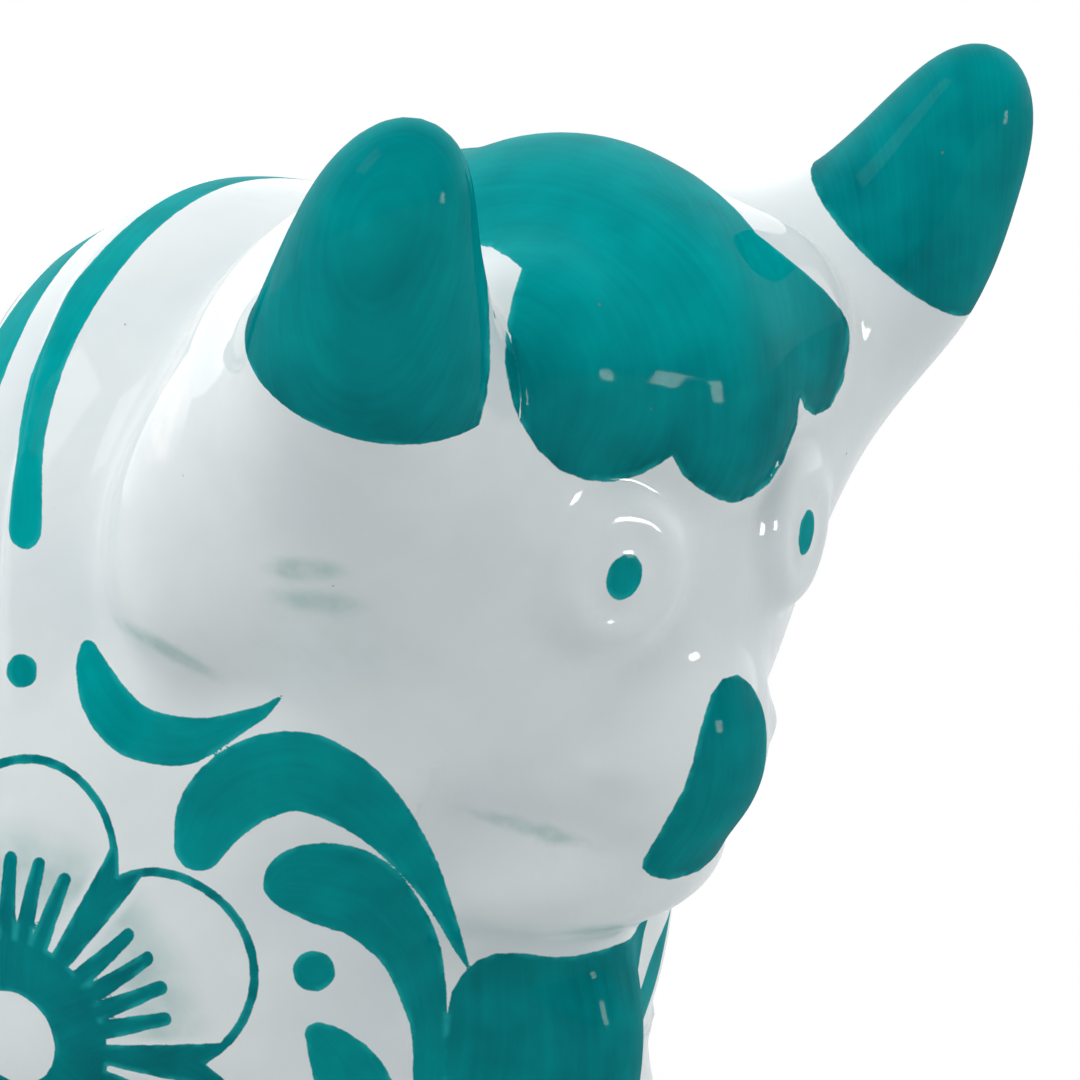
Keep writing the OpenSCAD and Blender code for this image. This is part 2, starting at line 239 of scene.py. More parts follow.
# How softly the head runs into the neck, most of all at the jaw
def jawBlend(q):
    f = headForm
    low = f["jawBlend"] * (1 - softStep(q[:, 2], *f["jawHeight"]))
    return f["neckBlend"] + low * softStep(q[:, 0], *f["jawWide"])


hornForm = {
    "path": [(12, -60, 139, 14), (26, -68, 142, 13.4), (36, -78.5, 150.5, 11.8), (41, -85.3, 163, 7.8),
             (41.4, -88.9, 169.8, 4)],
    "blend": 14, "box": ((8, -95, 122), (50, -45, 176)), "reach": 24,
}
dewlapForm = {
    "path": [(0, -58, 97, 6), (0, -65.5, 87, 7), (0, -70.3, 75, 7.5), (0, -66, 59, 7), (0, -54, 48, 6)],
    "blend": 12, "box": ((0, -75, 40), (8, -45, 102)), "reach": 16,
}
tailForm = {
    "path": [(0, 84.5, 99, 6), (6, 88, 88.5, 6), (16.5, 84.5, 80, 5), (28.5, 73.5, 77, 5),
             (36.5, 62.5, 82, 8), (40, 53.5, 88, 4)],
    "blend": 4, "box": ((-8, 48, 68), (48, 95, 106)), "reach": 16,
}
earForm = {"lobe": ((32.5, -51.5, 129.5), (7.5, 8.5, 12)), "tilt": 12, "blend": 8}
hairForm = {
    "crown": ((0, -69.5, 153.5), (17, 17.5, 13.5)),
    "middle": ((0, -86, 144.5), (12.5, 7.8, 12.5)), "middleTilt": 10,
    "side": ((16.4, -81.4, 147), (10, 8.5, 10.5)), "sideYaw": 32,
    "blend": (6, 10, 1.8),
}


def parts(p):
    q = p.copy()
    q[:, 0] = np.abs(q[:, 0])  # one half stands for both

    def lobe(form, turns=()):
        return near(q, *headForm["box"], lambda r: ball(r, *form, turns))
    return {
        "body": bodyField(p),
        "leg": near(q, *legForm["box"], legField),
        "dewlap": coilNear(q, dewlapForm),
        "handle": near(q, *handleForm["box"], handleField),
        "tail": coilNear(p, tailForm),  # swung to one side
        "jaw": jawBlend(q),
        "head": near(q, *headForm["box"], headField, headForm["reach"]),
        "horn": coilNear(q, hornForm),
        "ear": lobe(earForm["lobe"], [(1, -earForm["tilt"])]),
        "eye": near(q, *eyeForm["box"], eyeField, eyeForm["reach"]),
        "crown": lobe(hairForm["crown"]),
        "middle": lobe(hairForm["middle"], [(0, -hairForm["middleTilt"])]),
        "side": lobe(hairForm["side"], [(2, hairForm["sideYaw"])]),
    }


def bull(p):
    made = parts(p)
    trunk = softMin(made["body"], made["leg"], legForm["blend"])
    trunk = softMin(trunk, made["handle"], handleForm["blend"])
    trunk = softMin(trunk, made["tail"], tailForm["blend"])
    trunk = softMin(trunk, made["dewlap"], dewlapForm["blend"])
    head = softMin(made["head"], made["horn"], hornForm["blend"])
    head = softMin(head, made["ear"], earForm["blend"])
    curls, crown, root = hairForm["blend"]
    hair = softMin(softMin(made["middle"], made["side"], curls), made["crown"], crown)
    head = softMin(head, hair, root)
    head = softMin(head, made["eye"], eyeForm["blend"])
    return softMin(trunk, head, made["jaw"])


# The coarse grid's step and the band that is worked out in full are counted in steps of the grid
meshSizes = {"step": 1.1, "coarse": 6, "band": 11, "batch": 200000, "low": (-52.8, -97, -3),
             "high": (53, 96, 180), "settle": 0.95, "relax": 0.6, "slopeStep": 0.25}


def slopes(p):
    corners = np.array([(1, -1, -1), (-1, -1, 1), (-1, 1, -1), (1, 1, 1)], p.dtype)
    n = sum(c * bull(p + c * meshSizes["slopeStep"])[:, None] for c in corners)
    return n / (np.linalg.norm(n, axis=1, keepdims=True) + 1e-9)


# Moves points onto the clay's surface
def settle(p, times=2):
    for _ in range(times):
        n = slopes(p)
        p = p - n * bull(p)[:, None] * meshSizes["settle"]
    return p


def gridField(h):
    axes = [np.arange(lo, hi + h, h, dtype=np.float32) for lo, hi in zip(meshSizes["low"], meshSizes["high"])]
    shape = tuple(len(a) for a in axes)
    coarse = [a[::meshSizes["coarse"]] for a in axes]
    points = np.stack(np.meshgrid(*coarse, indexing="ij"), -1).reshape(-1, 3)
    field = bull(points).reshape([len(a) for a in coarse])
    for axis in range(3):
        field = np.repeat(field, meshSizes["coarse"], axis=axis)
    field = field[:shape[0], :shape[1], :shape[2]].copy()
    live = np.argwhere(np.abs(field) < meshSizes["band"] * h)
    places = np.stack([axes[k][live[:, k]] for k in range(3)], 1)
    batches = np.array_split(places, max(1, len(places) // meshSizes["batch"]))
    field[tuple(live.T)] = np.concatenate([bull(batch) for batch in batches])
    return field, np.array([a[0] for a in axes], np.float32)


# Joins grid points that touch only across a diagonal, so that no edge of the skin is pinched
def joinDiagonals(field, passes=2, justInside=-1e-3):
    for axis in [0, 1, 2] * passes:
        grid = np.moveaxis(field, axis, 0)
        a, b, c, d = grid[:, :-1, :-1], grid[:, 1:, :-1], grid[:, 1:, 1:], grid[:, :-1, 1:]
        crossOne = (a < 0) & (c < 0) & (b >= 0) & (d >= 0)
        crossTwo = (b < 0) & (d < 0) & (a >= 0) & (c >= 0)
        b[crossOne] = justInside
        a[crossTwo] = justInside


# One point in each grid cell that the surface crosses, and a face across each crossed edge
def skinOf(h):
    field, origin = gridField(h)
    joinDiagonals(field)
    inside = field < 0
    corners = [(i, j, k) for i in (0, 1) for j in (0, 1) for k in (0, 1)]
    end = [n - 1 for n in field.shape]
    unit = np.eye(3, dtype=int)

    def shifted(grid, c):
        return grid[c[0]:c[0] + end[0], c[1]:c[1] + end[1], c[2]:c[2] + end[2]]
    count = sum(shifted(inside, c).astype(np.int8) for c in corners)
    cells = np.argwhere((count > 0) & (count < len(corners)))
    number = np.full(end, -1, np.int32)
    number[tuple(cells.T)] = np.arange(len(cells))
    total, hits = np.zeros((len(cells), 3), np.float32), np.zeros(len(cells), np.float32)
    for axis in range(3):
        for c in [c for c in corners if c[axis] == 0]:
            fa, fb = field[tuple((cells + c).T)], field[tuple((cells + c + unit[axis]).T)]
            cut = (fa < 0) != (fb < 0)
            t = np.where(cut, fa / np.where(cut, fa - fb, 1), 0)
            place = np.array(c, np.float32) + unit[axis].astype(np.float32) * t[:, None]
            total += place * cut[:, None]
            hits += cut
    verts = origin + h * (cells + total / hits[:, None])
    quads = []
    for axis in range(3):
        b, c = (axis + 1) % 3, (axis + 2) % 3
        low, high = [slice(None)] * 3, [slice(None)] * 3
        low[axis], high[axis] = slice(0, -1), slice(1, None)
        flips = np.argwhere(inside[tuple(low)] != inside[tuple(high)])
        ok = (flips[:, b] > 0) & (flips[:, c] > 0) & (flips[:, b] < end[b]) & (flips[:, c] < end[c])
        flips = flips[ok]
        ring = [number[tuple((flips - s).T)] for s in (unit[b] + unit[c], unit[c], 0 * unit[b], unit[b])]
        ring = np.stack(ring, 1)
        back = ~inside[tuple(flips.T)]
        ring[back] = ring[back][:, ::-1]
        quads.append(ring)
    return verts.astype(np.float32), np.vstack(quads)


# Evens the faces out by sliding points along the surface
def relaxed(verts, quads, times=2):
    a = np.concatenate([quads[:, k] for k in range(4)])
    b = np.concatenate([quads[:, (k + 1) % 4] for k in range(4)])
    for _ in range(times):
        total = np.zeros((len(verts), 3), np.float32)
        count = np.zeros(len(verts), np.float32)
        np.add.at(total, a, verts[b])
        np.add.at(total, b, verts[a])
        np.add.at(count, a, 1)
        np.add.at(count, b, 1)
        move = total / count[:, None] - verts
        n = slopes(verts)
        move -= n * (move * n).sum(1)[:, None]
        verts = settle(verts + meshSizes["relax"] * move, times=1)
    return settle(verts)


# Two triangles for each face, split along its shorter diagonal
def halved(verts, quads):
    d1 = np.linalg.norm(verts[quads[:, 0]] - verts[quads[:, 2]], axis=1)
    d2 = np.linalg.norm(verts[quads[:, 1]] - verts[quads[:, 3]], axis=1)
    other = d2 < d1
    q = quads.copy()
    q[other] = np.roll(quads[other], -1, axis=1)
    return np.vstack([q[:, [0, 1, 2]], q[:, [0, 2, 3]]])


def edgeKeys(tris, n):
    a, b = tris, np.roll(tris, -1, axis=1)
    return np.minimum(a, b).astype(np.int64) * n + np.maximum(a, b)


# Splits every triangle that the zero line of a field crosses
def cutAlong(verts, tris, field, least=1e-4, margin=0.02):
    field = np.where(np.abs(field) < least, least, field)
    side = field > 0
    keys = edgeKeys(tris, len(verts))
    crossed = side[tris] != side[np.roll(tris, -1, axis=1)]
    edges, place = np.unique(keys[crossed], return_inverse=True)
    if not len(edges):
        return verts, tris, side[tris[:, 0]]
    a, b = edges // len(verts), edges % len(verts)
    t = (field[a] / (field[a] - field[b]))[:, None]
    t = np.clip(t, margin, 1 - margin)
    mids = np.full(tris.shape, -1, np.int64)
    mids[crossed] = place + len(verts)
    verts = np.vstack([verts, verts[a] * (1 - t) + verts[b] * t]).astype(np.float32)
    plain = ~crossed.any(1)
    mixed, m = tris[~plain], mids[~plain]
    lone = np.where(m[:, 0] < 0, 2, np.where(m[:, 1] < 0, 0, 1))  # the corner between the two crossed edges
    rows = np.arange(len(mixed))
    p0, p1, p2 = (mixed[rows, (lone + k) % 3] for k in range(3))
    m0, m2 = m[rows, lone], m[rows, (lone + 2) % 3]
    tip = np.stack([p0, m0, m2], 1)
    base = np.vstack([np.stack([m0, p1, p2], 1), np.stack([m0, p2, m2], 1)])
    made = np.vstack([tris[plain], tip, base])
    above = np.concatenate([side[tris[plain][:, 0]], side[p0], np.tile(~side[p0], 2)])
    return verts, made, above


# Halves the marked edges and the triangles round them
def finer(verts, tris, mark):
    keys = edgeKeys(tris, len(verts))
    edges, place, uses = np.unique(keys, return_inverse=True, return_counts=True)
    place = place.reshape(tris.shape)
    a, b = edges // len(verts), edges % len(verts)
    cut = mark(verts[a], verts[b], a, b) & (uses == 2)  # an edge on the rim stays whole
    order = np.cumsum(cut) - 1 + len(verts)
    middle = np.where(cut, order, -1)[place]
    fresh = settle(((verts[a[cut]] + verts[b[cut]]) / 2).astype(np.float32))
    verts = np.vstack([verts, fresh])
    many = (middle >= 0).sum(1)
    t, m = tris[many == 3], middle[many == 3]
    made = [(t[:, 0], m[:, 0], m[:, 2]), (t[:, 1], m[:, 1], m[:, 0]),
            (t[:, 2], m[:, 2], m[:, 1]), (m[:, 0], m[:, 1], m[:, 2])]
    for n in (1, 2):
        t, m = tris[many == n], middle[many == n]
        rows = np.arange(len(t))
        first = (m >= 0).argmax(1) if n == 1 else ((m < 0).argmax(1) + 1) % 3
        p = [t[rows, (first + k) % 3] for k in range(3)]
        q = [m[rows, (first + k) % 3] for k in range(3)]
        if n == 1:
            made += [(p[0], q[0], p[2]), (q[0], p[1], p[2])]
        else:
            made += [(q[0], p[1], q[1]), (p[0], q[0], q[1]), (p[0], q[1], p[2])]
    return verts, np.vstack([tris[many == 0]] + [np.stack(corners, 1) for corners in made])


def packed(verts, tris):
    used, back = np.unique(tris, return_inverse=True)
    return verts[used], back.reshape(tris.shape)


def rimEdges(tris):
    n = int(tris.max()) + 1
    a, b = tris.ravel(), np.roll(tris, -1, axis=1).ravel()
    lone = ~np.isin(a.astype(np.int64) * n + b, b.astype(np.int64) * n + a)
    return a[lone], b[lone]


def loopsOf(a, b):
    after = dict(zip(a.tolist(), b.tolist()))
    loops = []
    while after:
        start, here = next(iter(after.items()))
        del after[start]
        loop = [start]
        while here != start and here in after:
            loop.append(here)
            here = after.pop(here)
        loops.append(loop)
    return loops


# The picture's own view: marks on the near side are laid out in its 1080 by 1080 frame
pictureView = {"place": (-339.7, -372.5, 223.6), "azimuth": 48, "elevation": 12, "focal": 4725, "size": 1080}


def viewAxes():
    a, e = math.radians(pictureView["azimuth"]), math.radians(pictureView["elevation"])
    right = np.array([math.cos(a), -math.sin(a), 0])
    back = np.array([-math.sin(a) * math.cos(e), -math.cos(a) * math.cos(e), math.sin(e)])
    return right, np.cross(back, right), back


# Where points fall in the picture, across and down, and its pixels to a millimetre there
def toPicture(p):
    right, up, back = viewAxes()
    q = p - np.array(pictureView["place"])
    perMm = pictureView["focal"] / -(q @ back)
    half = pictureView["size"] / 2
    return half + (q @ right) * perMm, half - (q @ up) * perMm, perMm


# How far points are inside a closed outline; negative outside
def patchField(u, v, edge):
    rows = np.array(edge, float)
    gap, inside = np.full(len(u), 1e9), np.zeros(len(u), bool)
    for (x0, y0), (x1, y1) in zip(rows, np.roll(rows, -1, axis=0)):
        dx, dy = x1 - x0, y1 - y0
        t = np.clip(((u - x0) * dx + (v - y0) * dy) / (dx * dx + dy * dy), 0, 1)
        gap = np.minimum(gap, np.hypot(u - x0 - t * dx, v - y0 - t * dy))
        if dy:
            inside ^= ((y0 > v) != (y1 > v)) & (u < x0 + (v - y0) * dx / dy)
    return np.where(inside, gap, -gap)


# The last two set how far from a stroke its field is worked out
brushForm = {"farOff": -99.0, "points": 6, "swell": 1.6, "spare": 0.15}


# How far points are inside a stroke, and their places along and across it
def strokeField(u, v, rows):
    path = curveThrough(rows, brushForm["points"])
    inside = np.full(len(u), brushForm["farOff"])
    along, across = np.zeros(len(u)), np.zeros(len(u))
    low, high = path.min(0), path.max(0)
    reach = high[2] * brushForm["swell"] + (high[0] - low[0] + high[1] - low[1]) * brushForm["spare"]
    box = (u > low[0] - reach) & (u < high[0] + reach) & (v > low[1] - reach) & (v < high[1] + reach)
    a, b = u[box], v[box]
    best, run, side = np.full(len(a), brushForm["farOff"]), np.zeros(len(a)), np.zeros(len(a))
    length = 0.0
    for (x0, y0, r0), (x1, y1, r1) in zip(path, path[1:]):
        dx, dy = x1 - x0, y1 - y0
        span = math.hypot(dx, dy) + 1e-9
        t = np.clip(((a - x0) * dx + (b - y0) * dy) / span ** 2, 0, 1)
        gap = np.hypot(a - x0 - t * dx, b - y0 - t * dy)
        d = r0 + (r1 - r0) * t - gap
        better = d > best
        best = np.where(better, d, best)
        run = np.where(better, length + t * span, run)
        side = np.where(better, np.sign(dx * (b - y0) - dy * (a - x0)) * gap, side)
        length += span
    inside[box], along[box], across[box] = best, run, side
    return inside, along, across


# The last mark: above 0 stains, brush smear and painted shade; below 0 painted highlights
coatForm = {"marks": ("paint", "tone", "along", "across", "stainShadeHighlight"), "unpainted": -9.0,
            "facing": 0.02, "trunkOver": 3, "tailGap": 0.8}


# The marks on one set of points: the far half repeats the near one, mirrored
class Coat:
    def __init__(self, p, n):
        self.p, self.made = p, parts(p)
        self.q, self.m = p.astype(float), n.astype(float)  # places and slopes on the near half
        self.left = self.q[:, 0] > 0
        self.q[self.left, 0] *= -1
        self.m[self.left, 0] *= -1
        back = viewAxes()[2]
        self.toward, self.farToward = self.m @ back, n @ back
        self.facing = self.toward > coatForm["facing"]
        self.u, self.v, self.perMm = toPicture(self.q)
        self.farU, self.farV, _ = toPicture(p.astype(float))
        trunk = np.minimum.reduce([self.made[k] for k in ("body", "leg", "dewlap")])
        self.trunk = trunk < self.made["head"] + coatForm["trunkOver"]
        self.hair = np.minimum.reduce([self.made[k] for k in ("crown", "middle", "side")])
        self.clear = self.made["tail"] - coatForm["tailGap"]
        self.marks = {k: np.zeros(len(p)) for k in coatForm["marks"]}
        self.marks["paint"] += coatForm["unpainted"]

    def lay(self, field, where, tone, along, across):
        hit = where & (field > self.marks["paint"])
        for name, value in (("paint", field), ("tone", tone), ("along", along), ("across", across)):
            self.marks[name] = np.where(hit, value, self.marks[name])

    def patch(self, edge):
        return patchField(self.u, self.v, edge) / self.perMm


# Rows of a brush stroke: across, down and half width in the picture's frame
shoulderStrokes = {
    "neckComma": [(88, 648, 8), (92, 668, 16), (105, 700, 24), (128, 727, 27), (155, 738, 26), (185, 741, 24),
                  (212, 734, 17), (240, 722, 11), (265, 710, 6), (282, 696, 1)],
    "bigComma": [(199, 846, 25), (215, 811, 37), (250, 782, 41), (295, 771, 40), (335, 784, 37),
                 (370, 808, 31), (400, 840, 24), (425, 876, 17), (445, 915, 10), (458, 945, 6),
                 (469, 969, 1)],
    "chestComma": [(276, 888, 12), (296, 881, 31), (330, 885, 42), (367, 899, 41), (405, 941, 32),
                   (421, 985, 25), (429, 1030, 18), (430, 1080, 17), (425, 1130, 11), (411, 1172, 2)],
    "lowComma": [(318, 1035, 13), (335, 1055, 26), (353, 1084, 36), (373, 1122, 32), (386, 1160, 22),
                 (387, 1200, 9), (379, 1228, 1)],
    "neckDot": [(22, 669, 15), (22, 673, 15)],
    "chestDot": [(313, 971, 20), (315, 971, 20)],
}
# Rows of a stroke on the flank behind: along the body, height and half width in millimetres
flankStrokes = {
    "loinComma": [(3, 118, 1.2), (2, 112, 3), (5, 106, 3.6), (11, 103, 3), (17, 105, 1.6), (21, 108, 0.2)],
    "backComma": [(33, 113, 2.2), (31, 109, 3.8), (26, 104.5, 4.2), (19.5, 98, 3.6), (14, 90, 2.6),
                  (11, 81, 1.5), (10, 72, 0.2)],
    "bellyComma": [(22, 60, 1.4), (19, 63, 3), (14, 64, 3.6), (8, 62, 3), (3, 57, 1.8), (0, 51, 0.2)],
    "rumpComma": [(76, 108, 1), (74, 103, 2.2), (69.5, 100, 2.8), (64, 101, 2.2), (59, 105, 0.2)],
    "loinDot": [(16, 80, 2), (16.3, 80, 2)],
    "haunchDot": [(66, 66, 1.9), (66.3, 66, 1.9)],
}
strokePaint = {"tone": 0.45, "toneStep": 0.1, "tones": 3, "apart": 9, "flankApart": 60,
               "shoulderRear": 4, "shoulderTop": 126, "flankFront": -8, "flankSlope": -0.15}


def paintStrokes(coat):
    f, q = strokePaint, coat.q
    shoulder = coat.facing & (q[:, 1] < f["shoulderRear"]) & (q[:, 2] < f["shoulderTop"])
    flank = coat.trunk & (q[:, 1] > f["flankFront"]) & (coat.m[:, 0] < f["flankSlope"])
    for strokes, u, v, perMm, where, limit, apart in (
            (shoulderStrokes, coat.u, coat.v, coat.perMm, shoulder, np.inf, 0),
            (flankStrokes, q[:, 1], q[:, 2], 1, flank, coat.clear, f["flankApart"])):
        for k, rows in enumerate(strokes.values()):
            field, along, across = strokeField(u, v, rows)
            tone = f["tone"] + f["toneStep"] * (k % f["tones"])
            coat.lay(np.minimum(field / perMm, limit), where, tone,
                     along / perMm, across / perMm + f["apart"] * k + apart)


flowerForm = {
    "shoulder": (-37.3, 79.4), "haunch": (42, 83), "haunchScale": 0.82,
    "petals": 6, "first": 86, "reach": 17.8, "petal": 10.5, "line": 0.9, "wedge": 24,
    "core": 11.5, "coreLine": 1.0, "disc": 4.8,
    "fingers": 4, "fan": 10.2, "fingerTip": 19, "fingerWide": 0.68, "fingerRoot": 1.0, "fingerDroop": 0.05,
    "smearIn": 2, "smearWide": 6, "tone": 0.95, "halfSpan": 34, "slope": -0.2,
    "stretch": 1.06, "flatDepth": 46, "wrap": 14,  # how it follows the round of the flank
    "wiped": (652, 1014), "wipedDepth": 3, "wipedSpread": 80,  # a bare spot on the far side, in the picture
}


def flowerField(a, b, scale):
    f = flowerForm
    a, b = a / scale, b / scale
    r, angle = np.hypot(a, b), np.degrees(np.arctan2(b, a))
    pitch = 360 / f["petals"]
    off = (angle - f["first"] + pitch / 2) % pitch - pitch / 2
    x, y = r * np.cos(np.radians(off)), r * np.sin(np.radians(off))
    gap = np.hypot(x - f["reach"], y)
    outer = np.maximum(f["petal"] - gap, f["core"] - r)
    white = np.minimum(f["petal"] - f["line"] - gap, np.radians(f["wedge"] - np.abs(off)) * r)
    finger = np.full(len(r), brushForm["farOff"])
    for k in range(f["fingers"]):
        bend = (k - (f["fingers"] - 1) / 2) * f["fan"]
        c, s = math.cos(math.radians(bend)), math.sin(math.radians(bend))
        run, side = x * c + y * s, np.abs(y * c - x * s)
        tip = f["fingerTip"] - abs(bend) * f["fingerDroop"]
        part = np.clip((run - f["core"]) / (tip - f["core"]), 0, 1)
        wide = f["fingerRoot"] + (f["fingerWide"] - f["fingerRoot"]) * part
        finger = np.maximum(finger, wide - np.hypot(side, np.maximum(run - tip + f["fingerWide"], 0)))
    teal = np.minimum(outer, np.maximum(np.maximum(-white, finger), f["core"] - f["coreLine"] - r))
    teal = np.minimum(teal, r - f["disc"])
    smear = np.clip(1 - np.abs(r - f["fingerTip"] + f["smearIn"]) / f["smearWide"], 0, 1)
    return teal * scale, r * scale, np.radians(off) * r * scale, smear * np.clip(white, 0, 1)


def paintFlowers(coat):
    f, q, stainShadeHighlight = flowerForm, coat.q, coat.marks["stainShadeHighlight"]
    away = (coat.farU - f["wiped"][0]) ** 2 + (coat.farV - f["wiped"][1]) ** 2
    wiped = coat.left * np.exp(-away / f["wipedSpread"])
    for (y, z), scale in ((f["shoulder"], 1), (f["haunch"], f["haunchScale"])):
        side = coat.trunk & (coat.m[:, 0] < f["slope"]) & (np.abs(q[:, 1] - y) < f["halfSpan"])
        a = y - q[:, 1]
        a = a * np.where(a > 0, f["stretch"], 1)
        deeper = np.maximum(0, f["flatDepth"] + q[:, 0]) * np.clip(np.abs(a) / f["wrap"], 0, 1)
        a = np.sign(a) * np.hypot(a, deeper)
        field, along, across, smear = flowerField(a, q[:, 2] - z, scale)
        coat.lay(np.minimum(field, coat.clear) - f["wipedDepth"] * wiped, side, f["tone"], along, across)
        stainShadeHighlight = np.where(side & (coat.clear > 0), np.maximum(stainShadeHighlight, smear), stainShadeHighlight)
    coat.marks["stainShadeHighlight"] = stainShadeHighlight


stripePaint = {
    "half": 2.0, "swell": 0.6, "swellAt": 43, "swellWide": 11, "tone": 0.2,
    "frontEnd": 66, "frontBack": 1.0, "frontTuck": 1.2, "frontTuckFrom": (52, 66),
    "rearEnd": 74, "rearBack": 2.6, "rearTuck": 2.8, "rearTuckFrom": (20, 54),
    "foot": 112, "start": -48, "stop": 6, "grooveHalf": 0.5, "grooveSoft": 1.6, "grooveEnd": 80,
}


def paintStripes(coat):
    f, q, ring = stripePaint, coat.q, foldForm["ring"]
    front, rear, angle = foldPlaces(coat.p)
    neck = coat.trunk & (q[:, 2] > f["foot"]) & (q[:, 1] > f["start"]) & (q[:, 1] < f["stop"])
    swell = np.exp(-((angle - f["swellAt"]) / f["swellWide"]) ** 2)
    wide = f["half"] + f["swell"] * swell
    front = front - f["frontBack"] - swell + f["frontTuck"] * softStep(angle, *f["frontTuckFrom"])
    rear = rear + f["rearBack"] - f["rearTuck"] * softStep(angle, *f["rearTuckFrom"])
    for place, end in ((front, f["frontEnd"]), (rear, f["rearEnd"])):
        past = np.maximum(angle - end, 0) * ring
        coat.lay(wide - np.hypot(place, past), neck, f["tone"], angle * ring, place)
    # Painted highlight: a pale line along the groove behind the front fold
    lip = np.abs(foldLip(coat.p)) / f["grooveHalf"]  # a pale line in the groove
    coat.marks["stainShadeHighlight"] -= np.where(neck & (angle < f["grooveEnd"]), np.clip(f["grooveSoft"] - lip, 0, 1), 0)


# Where the paint of each horn begins, and which way it runs from there
hornPaint = {
    "right": ((-42.8, -81.4, 147.1), (-0.167, -0.475, 0.864)),
    "left": ((30.2, -84.2, 153.9), (0.26, -0.63, 0.732)),
    "overHead": 6, "overHair": 1, "foot": 138, "tone": 0.55, "edgeTone": 0.45, "edgeFade": 8, "grain": 1.3,
}


def paintHorns(coat):
    f, q, horn = hornPaint, coat.q, coat.made["horn"]
    onHorn = (horn < coat.made["head"] + f["overHead"]) & (horn < coat.hair + f["overHair"])
    onHorn &= q[:, 2] > f["foot"]
    for side, mine in (("right", ~coat.left), ("left", coat.left)):
        place, axis = (np.array(h) for h in f[side])
        height = (coat.p - place) @ axis
        # Painted shade: the teal darkens toward its lower edge, on the horn's underside
        tone = f["tone"] + f["edgeTone"] * np.exp(-np.maximum(height, 0) / f["edgeFade"])
        coat.lay(height, onHorn & mine, tone, height, -q[:, 0] * f["grain"] - q[:, 1])


# Edges of the filled patches, seen on the near half in the picture's frame
hairPaint = {
    "edge": [(400, 120), (414, 165), (428, 215), (450, 238), (490, 248), (507, 256), (522, 268), (513, 296),
             (506, 330), (505, 362), (510, 395), (520, 422), (538, 450), (560, 470), (584, 480), (612, 482),
             (640, 475), (660, 464), (672, 456), (682, 474), (700, 490), (720, 500), (740, 505), (764, 502),
             (900, 470), (900, 60), (560, 60)],
    "bare": [(490, 246), (521, 267), (513, 296), (506, 330), (505, 362), (511, 397), (522, 430), (500, 440),
             (478, 428), (486, 400), (490, 372), (490, 330), (488, 285)],
    "far": [(400, 60), (900, 60), (900, 290), (853, 305), (849, 350), (843, 382), (830, 408), (815, 416),
            (804, 408), (800, 396), (797, 425), (783, 462), (770, 483), (752, 496), (735, 503), (700, 503),
            (400, 503)],  # on the far half, as the picture shows it
    "crownReach": 9, "crownLevel": 158, "crownSpread": 1.15, "crownSlope": 0.75,
    "nape": -55, "napeBend": 0.03, "foot": 126, "rear": -50, "overHorn": 6, "hornShare": 0.8, "bareFoot": 120,
    "turnAway": (-0.05, 0.08), "farShown": (-0.45, -0.05),  # slopes at which one outline gives way to another
    "tone": 0.3, "edgeTone": 0.45, "edgeFade": 3.5, "lobeShade": 0.3, "lobeGap": (2, 8),
    "darkBelow": (146, 156), "grain": 0.4,
}


def paintHair(coat):
    f, p, q, made, hair = hairPaint, coat.p, coat.q, coat.made, coat.hair
    onHead = (q[:, 2] > f["foot"]) & (q[:, 1] < f["rear"]) & (made["horn"] > hair - f["overHorn"])
    crease = np.minimum(made["head"], made["horn"] * f["hornShare"]) - hair
    edge = crease + (coat.patch(f["edge"]) - crease) * softStep(coat.toward, *f["turnAway"])
    shown = softStep(coat.farToward, *f["farShown"]) * coat.left
    edge = edge + (patchField(coat.farU, coat.farV, f["far"]) / coat.perMm - edge) * shown
    reach = f["crownReach"] + f["crownSpread"] * np.maximum(f["crownLevel"] - p[:, 2], 0)
    edge = np.minimum(edge, f["crownSlope"] * (reach - p[:, 0]))
    edge = np.minimum(edge, f["nape"] - q[:, 1] - f["napeBend"] * q[:, 0] ** 2)
    # Near its edge the paint is thicker and darker; on the lobes it is darker as painted shade, and both fade
    # toward the top, which stays lighter as painted light from above
    lobes = np.maximum(made["crown"] - np.minimum(made["middle"], made["side"]), 0)
    dark = f["edgeTone"] * np.exp(-np.maximum(edge, 0) / f["edgeFade"])
    dark = dark + f["lobeShade"] * softStep(lobes, *f["lobeGap"])
    tone = f["tone"] + dark * (1 - softStep(q[:, 2], *f["darkBelow"]))
    coat.lay(edge, onHead, tone, q[:, 2], q[:, 0] + f["grain"] * q[:, 1])
    bare = coat.facing & ~coat.left & (q[:, 2] > f["bareFoot"])
    kept = np.minimum(coat.marks["paint"], -coat.patch(f["bare"]))
    coat.marks["paint"] = np.where(bare, kept, coat.marks["paint"])


nosePaint = {
    "edge": [(737, 675), (722, 679), (711, 695), (703, 720), (697, 742), (692, 765), (683, 790), (669, 815),
             (655, 840), (644, 858), (642, 868), (650, 876), (670, 880), (694, 874), (720, 868), (800, 850),
             (800, 676)],
    "rear": -74, "foot": 90, "top": 122, "tone": 0.85,
}
bibPaint = {
    "edge": [(655, 928), (640, 938), (618, 945), (598, 951), (575, 956), (548, 957), (522, 953), (497, 953),
             (478, 960), (462, 974), (452, 992), (446, 1020), (444, 1060), (449, 1110), (465, 1160),
             (500, 1205), (560, 1232), (640, 1245), (760, 1245), (760, 928)],
    "rear": -35, "top": 96, "tone": 0.8,
}
pupilPaint = {"wide": 1.95, "tall": 2.25, "tilt": 24, "deep": 6, "foot": 115, "tone": 0.5}


